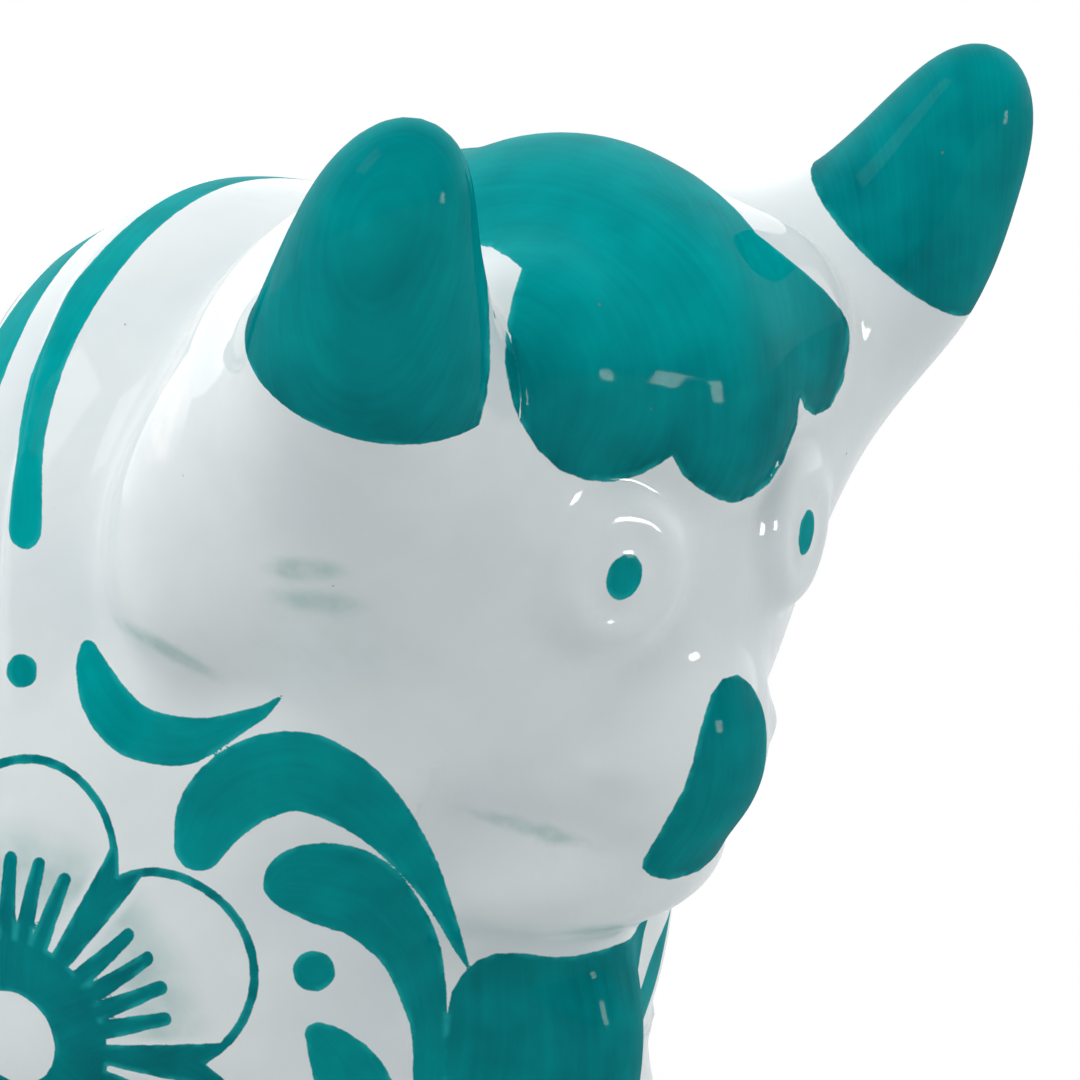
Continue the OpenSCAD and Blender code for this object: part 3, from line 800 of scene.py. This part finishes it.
def paintFace(coat):
    f, q = nosePaint, coat.q
    nose = (q[:, 1] < f["rear"]) & (q[:, 2] > f["foot"]) & (q[:, 2] < f["top"])
    coat.lay(coat.patch(f["edge"]), nose, f["tone"], q[:, 2], q[:, 0])
    f = bibPaint
    bib = coat.trunk & coat.facing & (q[:, 1] < f["rear"]) & (q[:, 2] < f["top"])
    coat.lay(coat.patch(f["edge"]), bib, f["tone"], q[:, 2], q[:, 0])
    f = pupilPaint
    c = turned(q * np.array([-1, 1, 1]) - np.array(eyeForm["place"]), 2, eyeForm["yaw"])
    tilt = np.radians(np.where(coat.left, -1, 1) * f["tilt"])
    wide = c[:, 0] * np.cos(tilt) + c[:, 2] * np.sin(tilt)
    tall = c[:, 2] * np.cos(tilt) - c[:, 0] * np.sin(tilt)
    pupil = f["wide"] * (1 - np.hypot(wide / f["wide"], tall / f["tall"]))
    coat.lay(pupil, (np.abs(c[:, 1]) < f["deep"]) & (q[:, 2] > f["foot"]), f["tone"], c[:, 2], c[:, 0])


stainAndLightPaint = {
    # Stains in the glaze, and painted shade: across, down, half length and half width in the picture, slope
    # and strength
    # The first two are stains; the broad fourth is painted shade under the temple; the third, fifth and sixth
    # darken the creases under the ear, along the mouth and under the chin
    "stainsAndShade": [(304, 570, 40, 12, 0.05, 1), (318, 602, 52, 14, 0.12, 0.8), (168, 650, 50, 8, 0.55, 1),
                (330, 640, 120, 70, 0.1, 0.3), (536, 830, 62, 8, 0.27, 1), (600, 932, 46, 7, -0.1, 0.6)],
    "stainShadeSoft": 1.4,
    # A painted highlight on the glaze, by its outline in the picture
    "gleam": [(273, 200), (250, 215), (227, 241), (190, 300), (150, 377), (140, 430), (136, 464), (150, 472),
              (173, 468), (190, 420), (200, 368), (212, 325), (227, 286), (240, 250)],
    "gleamSoft": 1.5, "gleamStrength": 0.7,
}


# Stains and painted shade tint the near side greenish grey; the gleam is a painted highlight
def paintStainsAndLight(coat):
    f, made, stainShadeHighlight = stainAndLightPaint, coat.made, coat.marks["stainShadeHighlight"]
    # Stains, painted shade under the temple, and darker lines in the creases, on the near side
    for x, y, long, wide, slope, strength in f["stainsAndShade"]:
        far = np.hypot((coat.u - x) / long, (coat.v - y - (coat.u - x) * slope) / wide)
        darkening = strength * np.clip(f["stainShadeSoft"] - far, 0, 1)
        stainShadeHighlight = np.maximum(stainShadeHighlight, np.where(coat.facing & ~coat.left, darkening, 0))
    # Painted highlight: inside the gleam's outline the glaze is whitened
    onHead = np.minimum(made["head"], made["horn"]) < made["body"]
    gleam = np.clip(coat.patch(f["gleam"]) / f["gleamSoft"], 0, 1) * onHead * ~coat.left
    coat.marks["stainShadeHighlight"] = stainShadeHighlight - f["gleamStrength"] * gleam


hoofPaint = {"top": 12, "onLeg": 3, "tone": 0.6}
handlePaint = {"bodyLimit": 9, "line": 0.6, "onHandle": 4, "tone": 0.4}
# Rows of the tail's stroke: along the body, height and half width in millimetres
tuftPaint = {
    "rows": [(74, 77.5, 0.6), (69, 78.5, 3.2), (63.5, 81.5, 5), (58, 85.5, 4.2), (53, 89, 2.2),
             (48.5, 91.5, 0.2)],
    "side": 20, "onTail": 6, "tone": 0.6,
}


def paintEnds(coat):
    p, q, made = coat.p, coat.q, coat.made
    coat.lay(hoofPaint["top"] - q[:, 2], made["leg"] < hoofPaint["onLeg"], hoofPaint["tone"], 0, q[:, 2])
    handle = np.minimum(made["body"], handlePaint["bodyLimit"]) - made["handle"] - handlePaint["line"]
    onHandle = made["handle"] < handlePaint["onHandle"]
    coat.lay(handle, onHandle, handlePaint["tone"], q[:, 1] + q[:, 2], q[:, 0])
    field, along, across = strokeField(p[:, 1], p[:, 2], tuftPaint["rows"])
    onTail = (p[:, 0] > tuftPaint["side"]) & (made["tail"] < tuftPaint["onTail"])
    coat.lay(field, onTail, tuftPaint["tone"], along, across)


def paintOf(p, n):
    coat = Coat(p, n)
    for paintOn in (paintStrokes, paintFlowers, paintStripes, paintHorns, paintHair, paintFace,
                    paintStainsAndLight, paintEnds):
        paintOn(coat)
    return coat.marks


# A socket of a node, so that shader maths reads as plain expressions
class Wire:
    def __init__(self, tree, socket=None):
        self.tree, self.socket = tree, socket

    def node(self, kind, settings=None, values=None, out=0):
        made = self.tree.nodes.new(kind)
        for key, value in (settings or {}).items():
            if key == "stops":
                ramp = made.color_ramp
                for k, (place, colour) in enumerate(value):
                    stop = ramp.elements[k] if k < 2 else ramp.elements.new(place)
                    stop.position, stop.color = place, colour
            else:
                setattr(made, key, value)
        for key, value in (values or {}).items():
            if isinstance(value, Wire):
                self.tree.links.new(value.socket, made.inputs[key])
            else:
                made.inputs[key].default_value = value
        return Wire(self.tree, made.outputs[out] if len(made.outputs) else None)

    def maths(self, operation, a, b):
        return self.node("ShaderNodeMath", {"operation": operation}, {0: a, 1: b})

    def __add__(self, other):
        return self.maths("ADD", self, other)

    def __radd__(self, other):
        return self.maths("ADD", other, self)

    def __sub__(self, other):
        return self.maths("SUBTRACT", self, other)

    def __rsub__(self, other):
        return self.maths("SUBTRACT", other, self)

    def __mul__(self, other):
        return self.maths("MULTIPLY", self, other)

    def __rmul__(self, other):
        return self.maths("MULTIPLY", other, self)

    def __truediv__(self, other):
        return self.maths("DIVIDE", self, other)

    def __rtruediv__(self, other):
        return self.maths("DIVIDE", other, self)

    def ramp(self, low, high):
        smooth = {"interpolation_type": "SMOOTHSTEP"}
        return self.node("ShaderNodeMapRange", smooth, {0: self, 1: low, 2: high})

    def blend(self, a, b, factor):
        return self.node("ShaderNodeMix", {"data_type": "RGBA"}, {0: factor, 6: a, 7: b}, 2)

    def tint(self, other, factor):
        return self.blend(self, other, factor)


# Scales of noise are for a millimetre; beside one is its strength, or the least cover of a patch
glazeLook = {
    "white": (0.735, 0.805, 0.83, 1), "warm": (0.80, 0.86, 0.865, 1), "cloud": 0.07, "cloudEdge": (0.3, 0.7),
    # The greenish grey is for stains, brush smear and painted shade; the near-white below it is for painted
    # highlights
    "stainAndShade": (0.36, 0.55, 0.53, 1), "stainAndShadePatch": (0.25, 0.5), "stainAndShadeShare": 0.7,
    "paintedHighlight": (0.94, 0.96, 0.96, 1), "paintedHighlightPatch": (0.5, 0.55), "patchEdge": (0.35, 0.65),
    "roughness": 0.4, "roughPatch": (0.3, 0.12), "gloss": 0.0, "coat": 0.45, "coatRoughness": 0.05,
    "ior": 1.5, "waves": (0.11, 0.9), "ripple": (0.8, 0.06), "bumpStrength": 0.35, "bumpDistance": 0.001,
}
pitLook = {"colour": (0.22, 0.19, 0.16, 1), "scale": 0.2, "size": 0.034, "least": 0.006, "edge": (0.6, 1.0),
           "rare": (0.55, 0.75), "share": 0.7, "depth": 0.08}
paintLook = {
    "light": (0.0, 0.37, 0.385, 1), "mid": (0.0, 0.27, 0.285, 1), "deep": (0.0, 0.15, 0.17, 1),
    "midAt": 0.42, "deepAt": 0.9, "toneShare": 0.75, "pool": (0.16, 0.7),
    "thin": (0.02, 0.46, 0.46, 1), "thinRim": (0.05, 0.7), "thinPatch": 0.35, "thinEdge": (0.4, 0.65),
    "thinShare": 0.55, "soft": 0.07, "wobble": (0.9, 0.25), "fray": (5.0, 0.07),
    "hairs": 1.5, "hairLength": 0.1, "streak": 0.35, "streakRelief": 0.05, "coat": 0.06, "roughness": 0.04,
}


def paintedGlaze():
    made = bpy.data.materials.new("painted_glaze")
    made.use_nodes = True
    tree = made.node_tree
    tree.nodes.clear()
    w = Wire(tree)
    mark = {k: w.node("ShaderNodeAttribute", {"attribute_name": k}, out=2) for k in coatForm["marks"]}
    place = w.node("ShaderNodeTexCoord", out=3)
    place = w.node("ShaderNodeVectorMath", {"operation": "SCALE"}, {0: place, "Scale": 1 / mm})
    glaze, paint, pits = glazeLook, paintLook, pitLook

    def noise(scale, detail=2.0, vector=place):
        return w.node("ShaderNodeTexNoise", None, {"Vector": vector, "Scale": scale, "Detail": detail})

    def uneven(scale, strength):
        return (noise(scale) - 0.5) * strength

    def patchy(scale, least):
        return least + noise(scale, 3.0).ramp(*glaze["patchEdge"]) * (1 - least)
    edge = mark["paint"] + uneven(*paint["wobble"]) + uneven(*paint["fray"])
    mask = edge.ramp(-paint["soft"], paint["soft"])
    brush = w.node("ShaderNodeCombineXYZ", None, {
        0: mark["across"] * paint["hairs"], 1: mark["along"] * paint["hairLength"], 2: 0.0})
    streak = noise(1.0, 3.0, brush)
    depth = mark["tone"] * paint["toneShare"] + (streak - 0.5) * paint["streak"] + uneven(*paint["pool"])
    stops = [(0.0, paint["light"]), (paint["deepAt"], paint["deep"]), (paint["midAt"], paint["mid"])]
    teal = w.node("ShaderNodeValToRGB", {"stops": stops}, {0: depth})
    thin = (1 - mark["paint"].ramp(*paint["thinRim"])) * noise(paint["thinPatch"]).ramp(*paint["thinEdge"])
    teal = teal.tint(paint["thin"], thin * paint["thinShare"])
    cloud = noise(glaze["cloud"], 3.0).ramp(*glaze["cloudEdge"])
    white = w.blend(glaze["white"], glaze["warm"], cloud)
    # Above 0 the mark tints the glaze greenish grey: stains, brush smear and painted shade; below 0 it
    # whitens it as a painted highlight
    stainAndShade = mark["stainShadeHighlight"].ramp(0.0, 1.0) * patchy(*glaze["stainAndShadePatch"])
    white = white.tint(glaze["stainAndShade"], stainAndShade * glaze["stainAndShadeShare"])
    white = white.tint(glaze["paintedHighlight"], mark["stainShadeHighlight"].ramp(0.0, -1.0) * patchy(*glaze["paintedHighlightPatch"]))
    body = white.tint(teal, mask)
    cells = {"Vector": place, "Scale": pits["scale"]}
    far, grain = (w.node("ShaderNodeTexVoronoi", {"feature": "F1"}, cells, out) for out in (0, 1))
    rare = w.node("ShaderNodeSeparateColor", None, {0: grain})
    pit = 1 - (far / (rare * pits["size"] + pits["least"])).ramp(*pits["edge"])
    pit = pit * rare.ramp(*pits["rare"])
    body = body.tint(pits["colour"], pit * pits["share"])
    rough = glaze["roughness"] + uneven(*glaze["roughPatch"]) + mask * paint["roughness"]
    (waves, waveHeight), (ripple, rippleHeight) = glaze["waves"], glaze["ripple"]
    relief = noise(waves) * waveHeight + noise(ripple) * rippleHeight
    relief = relief + streak * mask * paint["streakRelief"] - pit * pits["depth"]
    bump = w.node("ShaderNodeBump", None, {
        "Strength": glaze["bumpStrength"], "Distance": glaze["bumpDistance"], "Height": relief})
    surface = w.node("ShaderNodeBsdfPrincipled", None, {
        "Base Color": body, "Roughness": rough, "Normal": bump, "Specular IOR Level": glaze["gloss"],
        "Coat Weight": glaze["coat"] + mask * (paint["coat"] - glaze["coat"]),
        "Coat Roughness": glaze["coatRoughness"], "IOR": glaze["ior"]})
    w.node("ShaderNodeOutputMaterial", None, {"Surface": surface})
    return made


material = paintedGlaze()
print("glaze ready")


def addPiece(name, points, faces, marks, normals=None):
    mesh = bpy.data.meshes.new(name)
    mesh.from_pydata((points * mm).tolist(), [], faces.tolist())
    mesh.polygons.foreach_set("use_smooth", np.ones(len(faces), bool))
    if normals is not None:
        mesh.normals_split_custom_set(normals.tolist())
    for key, values in marks.items():
        mesh.attributes.new(key, "FLOAT", "POINT").data.foreach_set("value", values)
    mesh.materials.append(material)
    piece = bpy.data.objects.new(name, mesh)
    scene.collection.objects.link(piece)
    return piece


# Closes a cut piece of skin: above 0 the wall makes a shell, else a solid with its end drawn in
def closedPiece(name, verts, tris, outer, wall):
    normals = slopes(verts)
    fine, fineTris = outer
    fineNormals = slopes(fine)
    a, b = rimEdges(tris)
    faces, loopNormals = [fineTris], [fineNormals[fineTris].reshape(-1, 3)]
    points = [fine]
    count = len(fine)  # the first len(verts) of the fine points are the plain ones
    rim = []
    if wall > 0:
        points.append(verts - normals * wall)
        back = tris[:, ::-1]
        faces.append(back + count)
        loopNormals.append(-normals[back].reshape(-1, 3))
        rim += [np.stack([b, a, a + count], 1), np.stack([b, a + count, b + count], 1)]
    else:
        for loop in loopsOf(a, b):
            ring = np.array(loop)
            points.append(fine[ring].mean(0, keepdims=True) + normals[ring].mean(0, keepdims=True) * wall)
            rim.append(np.stack([np.roll(ring, -1), ring, np.full(len(ring), count)], 1))
            count += 1
    rim, every = np.vstack(rim), np.vstack(points)
    flat = np.cross(every[rim[:, 1]] - every[rim[:, 0]], every[rim[:, 2]] - every[rim[:, 0]])
    flat /= np.linalg.norm(flat, axis=1, keepdims=True) + 1e-12
    faces.append(rim)
    loopNormals.append(np.repeat(flat, 3, axis=0))
    marks = {}
    for key, values in paintOf(fine, fineNormals).items():
        marks[key] = np.full(len(every), coatForm["unpainted"] if key == "paint" else 0.0, np.float32)
        marks[key][:len(fine)] = values
    return addPiece(name, every, np.vstack(faces), marks, np.vstack(loopNormals))


edgeRounds = ((0.75, 0.9), (0.38, 0.5))  # longest edge that stays, and how near to the paint's edge


def withFinePaint(verts, tris):
    for limit, band in edgeRounds:
        paint = paintOf(verts, slopes(verts))["paint"]

        def mark(pa, pb, a, b):
            span = np.linalg.norm(pa - pb, axis=1)
            close = np.minimum(np.abs(paint[a]), np.abs(paint[b])) < band
            return (close | (paint[a] * paint[b] < 0)) & (span > limit)
        verts, tris = finer(verts, tris, mark)
    return verts, tris


verts, quads = skinOf(meshSizes["step"])
verts = relaxed(verts, quads)
tris = halved(verts, quads)
print("clay skin:", len(verts), "points")

# In the order in which the pieces are cut off the skin
order = ["eye", "middle", "side", "crown", "horn", "ear", "head", "dewlap", "leg", "handle", "tail"]
pairs = ("eye", "side", "horn", "ear", "leg")
walls = {"eye": 0, "middle": 0, "side": 0, "crown": 3, "horn": -2, "ear": 0, "head": 4.5, "dewlap": 3.5,
         "leg": 4.5, "handle": 0, "tail": 2.5, "foldFront": 3.5, "foldRear": 3.5, "body": 4.5}
names = {"middle": "forelock_middle", "side": "forelock", "crown": "forelock_crown"}  # others go by their key


def finishPiece(node, key, tris):
    plain, faces = packed(verts, tris)
    piece = closedPiece("painted_" + node, plain, faces, withFinePaint(plain, faces), walls[key])
    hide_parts(node)
    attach(piece, "root")
    print(node, len(piece.data.polygons), "faces")


def pairPieces(key, tris):
    middle = verts[tris].mean(1)
    for side, part in (("right", tris[middle[:, 0] < 0]), ("left", tris[middle[:, 0] > 0])):
        if key == "leg":
            y = verts[part].mean(1)[:, 1]
            finishPiece("leg_front_" + side, key, part[y < 0])
            finishPiece("leg_hind_" + side, key, part[y > 0])
        else:
            finishPiece(names.get(key, key) + "_" + side, key, part)


# Cuts off the part of the skin where a field is negative
def take(field):
    global verts, tris
    verts, made, above = cutAlong(verts, tris, field)
    tris = made[above]
    return made[~above]


for k, key in enumerate(order):
    made = parts(verts)
    rest = np.minimum.reduce([made[o] for o in order[k + 1:] + ["body"]])
    part = take(made[key] - rest)
    if key in pairs:
        pairPieces(key, part)
    else:
        finishPiece(names.get(key, key), key, part)

foldCut = {"foot": 104, "frontEnd": 84, "rearEnd": 80, "rearLip": 4.6, "overlap": 2}


def cutFolds():
    ring = foldForm["ring"]
    _, _, angle = foldPlaces(verts)
    ends = [(angle - foldCut["frontEnd"]) * ring, foldCut["foot"] - verts[:, 2]]
    part = take(np.maximum.reduce([foldLip(verts)] + ends))
    finishPiece("neck_fold_front", "foldFront", part)
    _, rear, angle = foldPlaces(verts)
    ends = [(angle - foldCut["rearEnd"]) * ring, foldCut["foot"] - verts[:, 2]]
    part = take(np.maximum.reduce([rear - foldCut["rearLip"], -foldCut["overlap"] - foldLip(verts)] + ends))
    finishPiece("neck_fold_rear", "foldRear", part)


cutFolds()

mouthForm = {
    "y": 74, "outer": 10.5, "bore": 6.5, "lip": 122, "foot": 98, "gap": 0.1, "holeFoot": 95, "turns": 96,
    # The lip's roll, over from the outer wall into the bore: how far out and how far below the lip
    "roll": [("outer", 0, 6), ("outer", 0.3, 4.6), ("outer", 1.3, 3.2), ("outer", 1.5, 1.6),
             ("outer", 0.9, 0.4), ("outer", -0.6, 0), ("bore", 1.2, 0.1), ("bore", 0.2, 1.2), ("bore", 0, 3)],
    "paint": 3.0, "tone": 0.45,
}
mouthHole = np.hypot(verts[:, 0], verts[:, 1] - mouthForm["y"]) - mouthForm["outer"] - mouthForm["gap"]
take(np.maximum(mouthHole, mouthForm["holeFoot"] - verts[:, 2]))
part = take(verts[:, 0])
finishPiece("body_right", "body", part)
finishPiece("body_left", "body", tris)


def fillingMouth():
    m, turns = mouthForm, mouthForm["turns"]
    profile = [(m["bore"], m["foot"]), (m["outer"], m["foot"])]
    profile += [(m[wall] + out, m["lip"] - down) for wall, out, down in m["roll"]]
    angle = np.arange(turns) * 2 * np.pi / turns
    points = np.array([(r * np.cos(a), m["y"] + r * np.sin(a), z) for r, z in profile for a in angle])
    faces = []
    for i in range(len(profile)):
        j = (i + 1) % len(profile)
        for k in range(turns):
            n = (k + 1) % turns
            faces.append((i * turns + k, i * turns + n, j * turns + n, j * turns + k))
    marks = {k: np.full(len(points), m.get(k, 0.0), np.float32) for k in coatForm["marks"]}
    piece = addPiece("painted_filling_mouth", points, np.array(faces), marks)
    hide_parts("filling_mouth")
    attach(piece, "root")


fillingMouth()
print("pieces made")

stageLook = {"floor": 0.72, "floorSeen": 0.98, "shadowRim": (0.09, 0.2), "reach": 4, "light": (1, 1, 1, 1),
             "back": 1.0, "front": 0.23, "turn": (-0.7, 0.4), "shine": 1.3}


def paleFloor():
    mesh = bpy.data.meshes.new("floor")
    r = stageLook["reach"]
    mesh.from_pydata([(-r, -r, 0), (r, -r, 0), (r, r, 0), (-r, r, 0)], [], [(0, 1, 2, 3)])
    floor = bpy.data.objects.new("floor", mesh)
    scene.collection.objects.link(floor)
    look = bpy.data.materials.new("pale_floor")
    look.use_nodes = True
    look.node_tree.nodes.clear()
    w = Wire(look.node_tree)
    seen, mirrored = (w.node("ShaderNodeLightPath", out=out) for out in (0, 3))
    pale = stageLook["floor"] + seen * (stageLook["floorSeen"] - stageLook["floor"])
    plain = w.node("ShaderNodeBsdfDiffuse", None, {"Color": pale})
    glow = w.node("ShaderNodeEmission", None, {"Color": stageLook["light"], "Strength": 1.0})
    place = w.node("ShaderNodeTexCoord", out=3)
    away = w.node("ShaderNodeVectorMath", {"operation": "LENGTH"}, {0: place}, 1)
    rays = w.maths("MAXIMUM", seen, mirrored) * away.ramp(*stageLook["shadowRim"])
    shown = w.node("ShaderNodeMixShader", None, {0: rays, 1: plain, 2: glow})
    w.node("ShaderNodeOutputMaterial", None, {"Surface": shown})
    mesh.materials.append(look)


def softRoom():
    world = bpy.data.worlds.new("soft_room")
    scene.world = world
    world.use_nodes = True
    world.node_tree.nodes.clear()
    w = Wire(world.node_tree)
    ray = w.node("ShaderNodeTexCoord", out=0)
    back = tuple(viewAxes()[2])
    toward = w.node("ShaderNodeVectorMath", {"operation": "DOT_PRODUCT"}, {0: ray, 1: back}, 1)
    front = toward.ramp(*stageLook["turn"])
    level = stageLook["back"] - front * (stageLook["back"] - stageLook["front"])
    shine = 1 + w.node("ShaderNodeLightPath", out=3) * (1 - front) * stageLook["shine"]
    air = w.node("ShaderNodeBackground", None, {"Color": stageLook["light"], "Strength": level * shine})
    w.node("ShaderNodeOutputWorld", None, {"Surface": air})


# Place, aim, size and power of each lamp, in metres and watts
lampLook = {
    "soft_top": ((-0.55, -0.22, 1.0), (0, -0.05, 0.1), 0.7, 6.6),
    "soft_front": ((0.15, -0.95, 0.75), (0, -0.05, 0.1), 0.6, 0.7),
    "soft_right": ((0.75, -0.75, 0.15), (0, -0.05, 0.1), 0.6, 2.3),
    "soft_left": ((-0.55, 0.85, 0.25), (0, -0.05, 0.1), 0.6, 2.5),
    "soft_rim": ((0.85, 0.3, 0.25), (0, -0.05, 0.1), 0.5, 2.2),
    "window": ((0.33, -0.95, 0.12), (0, -0.08, 0.12), 0.12, 2.0),
    "skylight": ((-0.66, 0.37, 0.91), (0, -0.08, 0.15), 0.4, 1.6),
}
glints = ("window", "skylight")  # these show only as reflections in the glaze


def lamp(name, place, aim, size, power):
    data = bpy.data.lights.new(name, "AREA")
    data.energy, data.size = power, size
    made = bpy.data.objects.new(name, data)
    made.visible_glossy, made.visible_diffuse = name in glints, name not in glints
    made.location = place
    made.rotation_euler = (Vector(aim) - Vector(place)).to_track_quat("-Z", "Y").to_euler()
    scene.collection.objects.link(made)


cameraLook = {"sensor": 36, "clipStart": 0.01}


def pictureCamera():
    data = bpy.data.cameras.new("camera")
    data.sensor_width = cameraLook["sensor"]
    data.lens = cameraLook["sensor"] * pictureView["focal"] / pictureView["size"]
    data.clip_start = cameraLook["clipStart"]
    camera = bpy.data.objects.new("camera", data)
    scene.collection.objects.link(camera)
    turn = Matrix(viewAxes()).transposed().to_4x4()
    camera.matrix_world = Matrix.Translation(Vector(pictureView["place"]) * mm) @ turn
    scene.camera = camera


paleFloor()
softRoom()
for name, form in lampLook.items():
    lamp(name, *form)
pictureCamera()
scene.view_settings.view_transform = "Standard"
print("stage lit")
